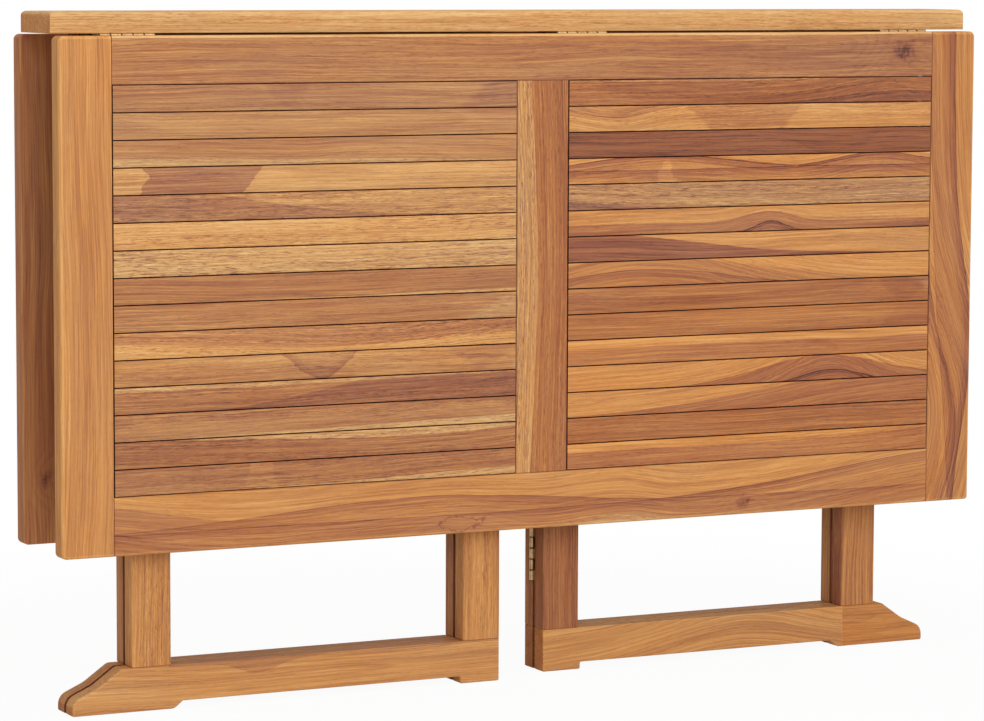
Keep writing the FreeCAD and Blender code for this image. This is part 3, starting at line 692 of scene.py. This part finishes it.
# slats: one row of points for each panel, a slat on each point
slatLook = {
    "edge": 0.0008, "edgeSteps": 3, "widen": 0.0009, "edgeWearAndShade": -2.6, "endGap": 0.0012, "seed": 41,
    "tongueThickness": 0.008, "tongueSetback": 0.004, "tongueReach": 0.001, "tongueEdge": 0.0005,
    "tongueShare": 0.96,    # of the slat's width
    "faceFlat": 0.95,
    "front_left": (
        wood(0.51, -0.60, heart=(-37, 40, 34, -50, 0.07), crest=(260, -40, 90, 80, 0.10)),
        wood(0.42, -0.54, heart=(215, 30, 60, -32, 0.09)),
        wood(0.48, -0.24, sap=(-330, -14, 420, 10, 0.15)),
        wood(0.28, -0.35, heart=(-135, 60, 80, -100, 0.26), crest=(-165, -60, 48, 100, 0.26), pores=0.8),
        wood(0.34, -0.38, heart=(-330, -15, 250, 60, 0.19), pores=1.4),
        wood(0.22, 0.12, pores=1.4),
        wood(0.26, -0.87, pores=1.9),
        wood(0.54, 0.08, sap=(330, -14, 330, 4, 0.26), crest=(-260, -14, 160, 8, -0.08)),
        wood(0.47, 0.10, sap=(300, -40, 130, 70, 0.08)),
        wood(0.20, 0.44, heart=(20, 4, 180, -13, 0.24), pores=1.5),
        wood(0.39, 0.03, heart=(5, 46, -55, -60, 0.16, 0.1), crest=(195, 34, 45, -44, 0.11),
             sap=(270, -40, 40, 70, 0.09)),
        wood(0.53, 0.16, heart=(230, -20, 230, 60, 0.17), sap=(-150, 13, 260, -4, 0.24)),
        wood(0.47, -0.04, sap=(300, -14, 300, 9, 0.20)),
        wood(0.57, 0.27, sap=(90, 14, 160, -9, 0.28)),
        wood(0.55, 0.08, sap=(300, -15, 260, 11, 0.24), crest=(-70, -60, 22, 100, -0.08)),
    ),
    "front_right": (
        wood(0.63, 0.71, crest=(200, -15, -120, 13, 0.16), sap=(-120, 14, 170, -3, 0.16),
             heart=(-260, -30, 120, 50, -0.07)),
        wood(0.29, 0.49, heart=(-7, 60, 85, -100, 0.12, 0.06), crest=(-180, 15, -60, -14, 0.15)),
        wood(0.76, 0.64, pores=0.4, crest=(120, 34, -70, -50, 0.05, 0.2)),
        wood(0.27, 0.90, heart=(-120, 0, -120, 17, 0.32), crest=(165, 0, -75, 15, 0.32),
             tail=(-113, -60, 18, 72, -0.13)),
        wood(0.44, -0.90, pores=1.5, heart=(-300, -16, 160, 14, 0.16)),
        wood(0.31, 0.58, heart=(21, -4, 45, 12, 0.26, -0.008), crest=(25, -17, -30, 14, 0.40)),
        wood(0.31, 0.54, heart=(-237, -14, 212, 32, 0.38), crest=(150, -20, -200, 24, 0.06, -0.04)),
        wood(0.32, 0.93, heart=(-140, -16, 220, 32, 0.13), crest=(-140, -20, -150, 24, 0.26)),
        wood(0.56, 0.76, heart=(205, 30, 40, -40, 0.10), sap=(260, 30, 50, -40, 0.10)),
        wood(0.52, 1.05, heart=(230, -40, 60, 70, 0.06)),
        wood(0.25, 1.03, heart=(0, 3, 400, 1, 0.23)),
        wood(0.29, 1.01, heart=(94, -16, 116, 30, 0.30), crest=(105, -20, -60, 17, 0.42)),
        wood(0.32, 0.90, heart=(200, -15, 245, 40, 0.235)),
        wood(0.55, 0.91),
        wood(0.25, 1.16, heart=(330, 4, 150, 12, 0.24)),
    ),
}


def openTree(name, sizes, counts=()):
    # new tree with named inputs, the inputs' identifiers, and the sockets that give their values
    tree = bpy.data.node_groups.new(name, "GeometryNodeTree")
    labels = [("Geometry", "Geometry"), *[(size, "Float") for size in sizes], *[(count, "Int") for count in counts],
              ("Material", "Material")]
    keys = {}
    for label, kind in labels:
        socket = tree.interface.new_socket(name=label, in_out="INPUT", socket_type="NodeSocket" + kind)
        keys[label] = socket.identifier
    tree.interface.new_socket(name="Geometry", in_out="OUTPUT", socket_type="NodeSocketGeometry")
    return tree, keys, tree.nodes.new("NodeGroupInput").outputs


def closeTree(tree, given, instance, **placing):
    # one instance on each point, made real
    inputs = {"Points": given["Geometry"], "Instance": instance, **placing}
    spread = wire(tree, "GeometryNodeInstanceOnPoints", inputs)
    real = wire(tree, "GeometryNodeRealizeInstances", {"Geometry": spread.outputs[0]})
    done = wire(tree, "GeometryNodeSetMaterial", {"Geometry": real.outputs[0], "Material": given["Material"]})
    wire(tree, "NodeGroupOutput", {"Geometry": done.outputs[0]})


def growTree(name, places, marks, tree, keys, values):
    # runs the tree on a row of points and leaves a plain mesh
    mesh = bpy.data.meshes.new(name)
    mesh.from_pydata([tuple(place) for place in places], [], [])
    for mark, vectors in marks.items():
        writeMark(mesh, mark, [part for vector in vectors for part in vector])
    row = addObject(name, mesh)
    modifier = row.modifiers.new("tree", "NODES")
    modifier.node_group = tree
    for label, value in values.items():
        modifier[keys[label]] = value
    return plainMesh(row)


def makeSlatTree():
    sizes = ("Slat Length", "Slat Width", "Slat Thickness", "Edge Radius", "Tongue Length", "Tongue Thickness",
             "Tongue Offset", "Edge Painted Shade")
    tree, keys, given = openTree("slatRow", sizes)
    product, size, under = sums(tree, "MULTIPLY", "ABSOLUTE", "LESS_THAN")

    def bar(length, width, thickness, radius):
        # rounded section swept along x
        section = wire(tree, "GeometryNodeCurvePrimitiveQuadrilateral", {"Width": thickness, "Height": width})
        rounding = {"Curve": section.outputs[0], "Radius": radius, "Count": slatLook["edgeSteps"]}
        section = wire(tree, "GeometryNodeFilletCurve", rounding, mode="POLY").outputs[0]
        half = product(length, 0.5)
        ends = {"Start": combine(tree, product(half, -1.0)), "End": combine(tree, half)}
        line = wire(tree, "GeometryNodeCurvePrimitiveLine", ends).outputs[0]
        sweep = {"Curve": line, "Profile Curve": section, "Fill Caps": True}
        return wire(tree, "GeometryNodeCurveToMesh", sweep).outputs[0]

    def mark(geometry, name, value, kind, domain):
        return wire(tree, "GeometryNodeStoreNamedAttribute", {"Geometry": geometry, "Name": name, "Value": value},
                    data_type=kind, domain=domain).outputs[0]

    slat = bar(given["Slat Length"], given["Slat Width"], given["Slat Thickness"], given["Edge Radius"])
    tongue = bar(given["Tongue Length"], given["Slat Width"], given["Tongue Thickness"], slatLook["tongueEdge"])
    back = combine(tree, y=given["Tongue Offset"])
    moved = {"Geometry": tongue, "Translation": back, "Scale": (1.0, 1.0, slatLook["tongueShare"])}
    tongue = wire(tree, "GeometryNodeTransform", moved).outputs[0]
    # all but a slat's two wide faces, and all the tongue behind the gaps, take painted shade
    normal = split(tree, wire(tree, "GeometryNodeInputNormal").outputs[0])
    edged = product(under(size(normal[1]), slatLook["faceFlat"]), given["Edge Painted Shade"])
    joined = wire(tree, "GeometryNodeJoinGeometry")
    for part, bevelWearAndLight in ((slat, edged), (tongue, given["Edge Painted Shade"])):
        tree.links.new(mark(part, "wearAndPaintedLight", bevelWearAndLight, "FLOAT", "FACE"), joined.inputs[0])
    # grain: along x, across z, through y
    x, y, z = split(tree, wire(tree, "GeometryNodeInputPosition").outputs[0])
    closeTree(tree, given, mark(joined.outputs[0], "grain", combine(tree, x, z, y), "FLOAT_VECTOR", "POINT"))
    return tree, keys


slatTree, slatKeys = makeSlatTree()
chance = random.Random(slatLook["seed"])
for side in ("front", "rear"):
    for end in ("left", "right"):
        node = f"{side}_leaf_{end}_slats"
        solids = sorted(islands(node), key=lambda corners: -corners[0].z)
        stile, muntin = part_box(f"{side}_leaf_{end}_stile"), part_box(f"{side}_leaf_muntin")
        start, stop = sorted((stile[0].x, stile[1].x, muntin[0].x, muntin[1].x))[1:3]
        panel = stop - start
        figures = slatLook.get(f"{side}_{end}") or [plainFigure(chance) for solid in solids]
        vectors = [figureVectors(figure, panel / 2 + slatLook["tongueReach"]) for figure in figures]
        levels = [(solid[0].z + solid[1].z) / 2 for solid in solids]
        middle, pitch = (levels[0] + levels[-1]) / 2, (levels[0] - levels[-1]) / (len(levels) - 1)
        spread = 1 + slatLook["widen"] / (pitch * (len(levels) + 1))    # keeps all gaps alike
        places = [((start + stop) / 2, (solid[0].y + solid[1].y) / 2, middle + (level - middle) * spread)
                  for solid, level in zip(solids, levels)]
        thickness = solids[0][1].y - solids[0][0].y
        offset = slatLook["tongueSetback"] + slatLook["tongueThickness"] / 2 - thickness / 2
        marks = {name: [vector[name] for vector in vectors] for name in vectors[0]}
        mesh = growTree(node, places, marks, slatTree, slatKeys, {
            "Slat Length": panel - 2 * slatLook["endGap"],
            "Slat Width": solids[0][1].z - solids[0][0].z + slatLook["widen"],
            "Slat Thickness": thickness,
            "Edge Radius": slatLook["edge"],
            "Tongue Length": panel + slatLook["tongueReach"],
            "Tongue Thickness": slatLook["tongueThickness"],
            "Tongue Offset": offset if side == "front" else -offset,
            "Edge Painted Shade": slatLook["edgeWearAndShade"],
            "Material": teakSlats,
        })
        addPiece(node + "_teak", mesh, teakSlats, f"{side}_leaf", "teak_slats", node)
print("slats made")


# fixed frames and gates: posts, rails and shaped feet
standLook = {
    "padLength": 0.048, "padRadius": 0.002, "lift": 0.008,
    "heelLength": 0.016, "heelSlope": 0.010, "heelHollow": 0.003, "heelRadius": 0.010,
    "toeLength": 0.056, "kneeLength": 0.029, "kneeHeight": 0.029, "tipHeight": 0.016,
    "crownRadius": 0.010, "hollowRadius": 0.040, "noseRadius": 0.014,
    # on a bottom rail, the painted shade beside the gap goes only on faces near upright
    "edge": 0.0022, "edgeWearAndShade": 0.3, "postEdge": 0.0014, "railGapShade": 0.3, "recessPlay": 0.0002,
    "paleJoint": (0.0003, 1.6), "tightJoint": (0.0001, 0.0),    # rounding, wear
    "borePlay": 0.0001, "boreBelow": 0.002, "boreAbove": 0.003, "boreSides": 32,
    "left_frame": {"inner_post": wood(0.52, 0.5), "outer_post": wood(0.44, 0.3),
                   "top_rail": wood(0.44), "bottom_rail": wood(0.42), "foot": wood(0.40, 0.3)},
    "right_frame": {"inner_post": wood(0.61, 0.8),
                    "outer_post": wood(0.44, 0.6, heart=(60, -22, -150, 30, 0.12)),
                    "top_rail": wood(0.38),
                    "bottom_rail": wood(0.27, 0.4, heart=(5, -26, -150, 40, 0.10)),
                    "foot": wood(0.36, 1.0)},
    "front_gate": {"inner_post": wood(0.33, 0.6), "outer_post": wood(0.34, 0.6),
                   "top_rail": wood(0.40),
                   "bottom_rail": wood(0.31, 0.3, crest=(-38, 22, 32, -13, 0.15), pores=0.5, seed=5.1),
                   "foot": wood(0.32, 0.25, pores=0.5, seed=5.1)},
    "rear_gate": {"inner_post": wood(0.54, 0.6), "outer_post": wood(0.45, 0.3),
                  "top_rail": wood(0.42), "bottom_rail": wood(0.40), "foot": wood(0.42)},
}
# stand, its side in x, its body, which face in y has the gap, and the hinge plates in its inner post
standRows = (
    ("right_frame", 1, "table_frame", 1, "rear_gate_hinge_fixed_plates"),
    ("left_frame", -1, "table_frame", 0, "front_gate_hinge_fixed_plates"),
    ("rear_gate", 1, "rear_gate", 0, "rear_gate_hinge_moving_plates"),
    ("front_gate", -1, "front_gate", 1, "front_gate_hinge_moving_plates"),
)


def recess(corners):
    # a hinge plate's place, with play in x and z
    play = Vector((standLook["recessPlay"], 0.0, standLook["recessPlay"]))
    return boxMesh(corners[0] - play, corners[1] + play)


def counterbore(screw, bottom):
    # round hole below a frame screw's head
    shape = bmesh.new()
    radius = (screw[1].x - screw[0].x) / 2 + standLook["borePlay"]
    low, high = bottom - standLook["boreBelow"], screw[0].z + standLook["boreAbove"]
    bmesh.ops.create_cone(shape, cap_ends=True, segments=standLook["boreSides"], radius1=radius, radius2=radius,
                          depth=high - low)
    middle = Vector(((screw[0].x + screw[1].x) / 2, (screw[0].y + screw[1].y) / 2, (low + high) / 2))
    bmesh.ops.translate(shape, verts=shape.verts, vec=middle)
    return shape


for stand, sign, body, gapSide, plates in standRows:
    figures = standLook[stand]
    box = {part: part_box(f"{stand}_{part}") for part in figures}
    lowY, highY = box["foot"][0].y, box["foot"][1].y
    railTop, topLow = box["bottom_rail"][1].z, box["top_rail"][0].z

    def standBoard(part, shape, along, *soft, **more):
        makeBoard(f"{stand}_{part}", body, shape, along, figures[part], *soft, gapShadeY=(lowY, highY)[gapSide], **more)

    for post in ("inner_post", "outer_post"):
        low, high = box[post]
        cutters = [recess(corners) for corners in islands(plates)] if post == "inner_post" else []
        standBoard(post, boxMesh((low.x, low.y, railTop), (high.x, high.y, topLow)), "z",
                   edge=standLook["postEdge"], cutters=cutters)
    low, high = box["top_rail"]
    cutters = [counterbore(screw, low.z) for screw in islands(stand + "_screws")] if body == "table_frame" else []
    standBoard("top_rail", boxMesh(low, high), "x", edge=standLook["postEdge"], cutters=cutters)

    # bottom rail and foot: outlines in distances from the table's middle
    joint, tip = sorted(abs(corner.x) for corner in box["foot"])
    inner = min(abs(corner.x) for corner in box["bottom_rail"])
    lift, heel = standLook["lift"], joint - standLook["heelLength"]
    pad = inner + standLook["padLength"]
    rail = roundedOutline(((inner, 0, 0), (pad, 0, 0), (pad, lift, standLook["padRadius"]),
                           (heel, lift, standLook["heelHollow"]),
                           (heel + standLook["heelSlope"], 0, standLook["heelRadius"]),
                           (joint, 0, 0), (joint, railTop, 0), (inner, railTop, 0)))
    foot = roundedOutline(((joint, 0, 0), (tip, 0, 0), (tip, standLook["tipHeight"], standLook["noseRadius"]),
                           (tip - standLook["kneeLength"], standLook["kneeHeight"], standLook["hollowRadius"]),
                           (tip - standLook["toeLength"], railTop, standLook["crownRadius"]), (joint, railTop, 0)))

    def atJoint(vertex):
        underPost = abs(abs(vertex.co.x) - inner) < tiny and abs(vertex.co.z - railTop) < tiny
        return underPost or abs(abs(vertex.co.x) - joint) < tiny

    def awayFromJoint(edge):
        return isSharp(edge) and not all(atJoint(vertex) for vertex in edge.verts)

    jointEdge, jointWearAndShade = standLook["paleJoint" if stand == "right_frame" else "tightJoint"]
    # the grain runs on from rail to foot
    middle = Vector((sign * (inner + tip) / 2, (lowY + highY) / 2, railTop / 2))
    for part, outline, steepest in (("bottom_rail", rail, standLook["railGapShade"]), ("foot", foot, 1.0)):
        standBoard(part, outlineMesh([(sign * x, z) for x, z in outline], lowY, highY), "x", awayFromJoint,
                   standLook["edge"], standLook["edgeWearAndShade"], jointEdge, jointWearAndShade, steepest=steepest,
                   origin=middle)
print("frames and gates made")


# screws: countersunk heads with a cross recess, one on each point
screwLook = {
    "hinge": {"Head Radius": 0.0028, "Shank Radius": 0.0015, "Head Height": 0.0012, "Length": 0.015,
              "Recess Length": 0.0032, "Recess Width": 0.0007, "Recess Depth": 0.0007},
    "frame": {"Head Radius": 0.0045, "Shank Radius": 0.0025, "Head Height": 0.003, "Length": 0.052,
              "Recess Length": 0.0052, "Recess Width": 0.0011, "Recess Depth": 0.0016},
    "sides": 20, "tipShare": 0.55, "largestTurn": 3.1,
}
# which way the screws point
screwHeadings = {
    "front_leaf_hinge_fixed_screws": (0, 0, 1),
    "front_leaf_hinge_moving_screws": (0, -1, 0),
    "rear_leaf_hinge_fixed_screws": (0, 0, 1),
    "rear_leaf_hinge_moving_screws": (0, 1, 0),
    "front_gate_hinge_fixed_screws": (0, 1, 0),
    "front_gate_hinge_moving_screws": (0, -1, 0),
    "rear_gate_hinge_fixed_screws": (0, -1, 0),
    "rear_gate_hinge_moving_screws": (0, 1, 0),
    "left_frame_screws": (0, 0, 1),
    "right_frame_screws": (0, 0, 1),
}


def bodyOf(node):
    # the moving half of a hinge goes with its leaf or gate
    return node.split("_hinge_")[0] if "_moving_" in node else "table_frame"


def makeScrewTree():
    tree, keys, given = openTree("screwRow", screwLook["hinge"], ("Seed",))
    product, less = sums(tree, "MULTIPLY", "SUBTRACT")

    def cone(bottom, top, depth):
        sizes = {"Vertices": screwLook["sides"], "Radius Bottom": bottom, "Radius Top": top, "Depth": depth}
        return wire(tree, "GeometryNodeMeshCone", sizes).outputs[0]

    head = cone(given["Head Radius"], given["Shank Radius"], given["Head Height"])
    shank = cone(given["Shank Radius"], product(given["Shank Radius"], screwLook["tipShare"]),
                 less(given["Length"], given["Head Height"]))
    up = combine(tree, z=given["Head Height"])
    shank = wire(tree, "GeometryNodeTransform", {"Geometry": shank, "Translation": up}).outputs[0]
    solid, whole = [wire(tree, "GeometryNodeMeshBoolean", operation=operation, solver="EXACT")
                    for operation in ("UNION", "DIFFERENCE")]
    for part in (head, shank):
        tree.links.new(part, solid.inputs["Mesh 2"])
    tree.links.new(solid.outputs[0], whole.inputs["Mesh 1"])
    long, narrow, deep = given["Recess Length"], given["Recess Width"], product(given["Recess Depth"], 2.0)
    for width, height in ((long, narrow), (narrow, long)):
        cube = wire(tree, "GeometryNodeMeshCube", {"Size": combine(tree, width, height, deep)})
        tree.links.new(cube.outputs[0], whole.inputs["Mesh 2"])

    # each screw points along its heading, turned by chance
    heading = wire(tree, "GeometryNodeInputNamedAttribute", {"Name": "heading"}, data_type="FLOAT_VECTOR")
    aim = wire(tree, "FunctionNodeAlignRotationToVector", {"Vector": heading.outputs[0]}, axis="Z")
    angle = wire(tree, "FunctionNodeRandomValue", data_type="FLOAT")

    def socket(sockets, name, kind="VALUE"):
        return next(each for each in sockets if each.name == name and each.type == kind)

    plug(tree, socket(angle.inputs, "Max"), screwLook["largestTurn"])
    plug(tree, socket(angle.inputs, "Seed", "INT"), given["Seed"])
    twist = {"Axis": (0.0, 0.0, 1.0), "Angle": socket(angle.outputs, "Value")}
    twist = wire(tree, "FunctionNodeAxisAngleToRotation", twist).outputs[0]
    turn = {"Rotation": aim.outputs[0], "Rotate By": twist}
    turn = wire(tree, "FunctionNodeRotateRotation", turn, rotation_space="LOCAL").outputs[0]
    closeTree(tree, given, whole.outputs[0], Rotation=turn)
    return tree, keys


screwTree, screwKeys = makeScrewTree()
for number, (node, heading) in enumerate(screwHeadings.items()):
    heading = Vector(heading)
    places = []
    for low, high in islands(node):
        middle, half = (low + high) / 2, (high - low) / 2
        places.append(middle - heading * abs(half.dot(heading)))    # middle of the head's outer face
    kind, metal, slotName = "hinge", hingeBrass, "hinge_brass"
    if node.endswith("frame_screws"):
        kind, metal, slotName = "frame", screwSteel, "screw_steel"
    mesh = growTree(node, places, {"heading": [heading] * len(places)}, screwTree, screwKeys,
                    dict(screwLook[kind], Seed=number, Material=metal))
    addPiece(node + "_metal", mesh, metal, bodyOf(node), slotName, node)
print("screws made")


# hinges: plates with their knuckles marked, and pins, all of the CAD shape
hingeLook = {"knuckles": 5, "knuckleRadius": 0.0026, "smoothAngle": math.radians(30)}
for node in [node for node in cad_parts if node.endswith("_plates")]:
    row = node.split("_hinge_")[0]
    axis = 0 if row.endswith("leaf") else 2
    pins = islands(row + "_hinge_pins")
    shape = fromNode(node)
    for edge in shape.edges:
        edge.smooth = edge.calc_face_angle(math.pi) < hingeLook["smoothAngle"]
    for face in shape.faces:
        face.smooth = True
    mesh = toMesh(shape, node)
    barrel = []
    for vertex in mesh.vertices:
        low, high = min(pins, key=lambda pin: abs((pin[0] + pin[1])[axis] / 2 - vertex.co[axis]))
        offset = vertex.co - (low + high) / 2
        offset[axis] = 0.0
        barrel += [(vertex.co[axis] - low[axis]) / (high[axis] - low[axis]) * hingeLook["knuckles"],
                   float(offset.length < hingeLook["knuckleRadius"]), 0.0]
    writeMark(mesh, "barrel", barrel)
    addPiece(node + "_metal", mesh, hingeBrass, bodyOf(node), "hinge_brass", node)
for node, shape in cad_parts.items():
    if node.endswith("_pins"):
        shape.data.materials.clear()
        shape.data.materials.append(hingeBrass)
print("hinges finished")


# studio: pale floor, white surroundings, three soft lamps
studioLook = {
    "floor": (0.90, 0.90, 0.90, 1.0), "floorSize": 14.0, "floorDrop": 0.0002,
    "floorLift": 0.95, "floorFade": (0.6, 1.3),    # how white the floor looks, and where it grows fully white
    "surroundings": ((1.0, 0.985, 0.965, 1.0), 0.45), "white": ((1.0, 1.0, 1.0, 1.0), 1.0),    # colour, strength
    "lamps": (
        {"name": "keyLamp", "place": (-1.2, -4.2, 1.9), "aim": (0.0, 0.0, 0.35), "size": (2.4, 2.4), "power": 84.0},
        {"name": "fillLamp", "place": (3.0, -2.8, 1.5), "aim": (0.1, 0.0, 0.35), "size": (2.2, 2.2), "power": 12.5},
        {"name": "topLamp", "place": (0.0, -0.75, 2.7), "aim": (0.0, -0.1, 0.4), "size": (2.8, 0.7), "power": 16.0},
    ),
}


def seenRay(tree):
    # 1 for what the camera sees, straight or in gloss and glass
    rays = wire(tree, "ShaderNodeLightPath").outputs
    straight = calc(tree, "MAXIMUM", rays["Is Camera Ray"], rays["Is Glossy Ray"])
    return calc(tree, "MAXIMUM", straight, rays["Is Transmission Ray"])


def glow(tree, kind, light):
    return wire(tree, kind, {"Color": light[0], "Strength": light[1]}).outputs[0]


def mixInto(tree, output, share, first, second):
    mixed = wire(tree, "ShaderNodeMixShader", {0: share, 1: first, 2: second})
    wire(tree, output, {"Surface": mixed.outputs[0]})


paleFloor, tree = newMaterial("paleFloor")
place = wire(tree, "ShaderNodeTexCoord").outputs["Object"]
away = wire(tree, "ShaderNodeVectorMath", {0: place}, operation="LENGTH").outputs["Value"]
fade = smooth(tree, away, *studioLook["floorFade"], studioLook["floorLift"], 1.0)
matt = wire(tree, "ShaderNodeBsdfDiffuse", {"Color": studioLook["floor"]}).outputs[0]
mixInto(tree, "ShaderNodeOutputMaterial", calc(tree, "MULTIPLY", fade, seenRay(tree)), matt,
        glow(tree, "ShaderNodeEmission", studioLook["white"]))
shape = bmesh.new()
bmesh.ops.create_grid(shape, x_segments=1, y_segments=1, size=studioLook["floorSize"] / 2)
floor = addObject("floor", toMesh(shape, "floor"))
floor.data.materials.append(paleFloor)
floor.location.z = -studioLook["floorDrop"]

world = bpy.data.worlds.new("studio")
world.use_nodes = True
tree = world.node_tree
tree.nodes.clear()
mixInto(tree, "ShaderNodeOutputWorld", seenRay(tree), glow(tree, "ShaderNodeBackground", studioLook["surroundings"]),
        glow(tree, "ShaderNodeBackground", studioLook["white"]))
bpy.context.scene.world = world

for lamp in studioLook["lamps"]:
    light = bpy.data.lights.new(lamp["name"], "AREA")
    light.shape = "RECTANGLE"
    light.size, light.size_y = lamp["size"]
    light.energy = lamp["power"]
    holder = addObject(lamp["name"], light)
    holder.location = lamp["place"]
    holder.rotation_euler = (Vector(lamp["aim"]) - Vector(lamp["place"])).to_track_quat("-Z", "Y").to_euler()

cameraLook = {"place": (-1.9552, -3.8896, 0.800), "yaw": 0.4603, "down": 0.1015, "roll": 0.0037, "lens": 142.07,
              "sensor": 36.0, "farthest": 100.0}
yaw, down, roll = cameraLook["yaw"], cameraLook["down"], cameraLook["roll"]
forward = Vector((math.sin(yaw) * math.cos(down), math.cos(yaw) * math.cos(down), -math.sin(down)))
rightward = Vector((math.cos(yaw), -math.sin(yaw), 0.0))
upward = rightward.cross(forward)
rightward, upward = (rightward * math.cos(roll) + upward * math.sin(roll),
                     upward * math.cos(roll) - rightward * math.sin(roll))
camera = addObject("camera", bpy.data.cameras.new("camera"))
camera.data.sensor_fit = "HORIZONTAL"
camera.data.sensor_width = cameraLook["sensor"]
camera.data.lens = cameraLook["lens"]
camera.data.clip_end = cameraLook["farthest"]
turned = Matrix((rightward, upward, -forward)).transposed().to_4x4()
camera.matrix_world = Matrix.Translation(cameraLook["place"]) @ turned
bpy.context.scene.camera = camera
bpy.context.scene.view_settings.view_transform = "Standard"
print("studio set")
